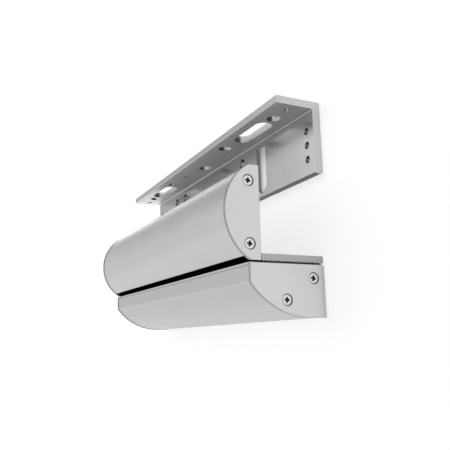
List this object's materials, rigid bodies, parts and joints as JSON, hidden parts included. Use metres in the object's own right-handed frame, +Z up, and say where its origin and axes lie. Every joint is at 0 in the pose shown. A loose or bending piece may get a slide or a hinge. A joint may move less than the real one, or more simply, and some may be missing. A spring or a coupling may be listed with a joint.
{
  "type": "electromagnetic lock bracket set",
  "caption": "Angle bracket for a door frame, with a covered door base whose serrated armature carrier slides outwards; for a door magnet and its armature plate.",
  "frame": {"origin": "middle of the base's flat back face, which lies on the door", "axes": "+X along the brackets, to the right as seen from the front; -Y out of the door; +Z up towards the frame angle"},
  "size_m": [0.25, 0.0596, 0.1208],
  "materials": {
    "angle_metal": "satin anodised, fine drawn grain",
    "profile_metal": "satin anodised, sawn and brushed ends",
    "cover_metal": "satin anodised, bead blasted",
    "end_plate_metal": "satin anodised, fine blasted, bevelled rim",
    "screw_steel": "bright stainless",
    "washer_steel": "bright stainless",
    "bar_steel": "zinc plated"
  },
  "bodies": {
    "door_base": {"frame_angle": "angle_metal", "base_plate": "profile_metal", "base_cover": "cover_metal", "base_end_plate_left": "end_plate_metal", "base_end_plate_right": "end_plate_metal", "base_back_screws": "screw_steel", "base_front_screws": "screw_steel", "clamp_screws": "screw_steel", "clamp_washers": "washer_steel", "clamp_nut_bar": "bar_steel"},
    "carrier": {"armature_carrier": "profile_metal", "carrier_cover": "cover_metal", "carrier_end_plate_left": "end_plate_metal", "carrier_end_plate_right": "end_plate_metal", "carrier_lower_screws": "screw_steel", "carrier_upper_screws": "screw_steel"}
  },
  "joints": [
    {"name": "carrier_slide", "type": "slide", "parent": "door_base", "child": "carrier", "axis": [0, -1, 0], "range_m": [0, 0.0175]}
  ]
}
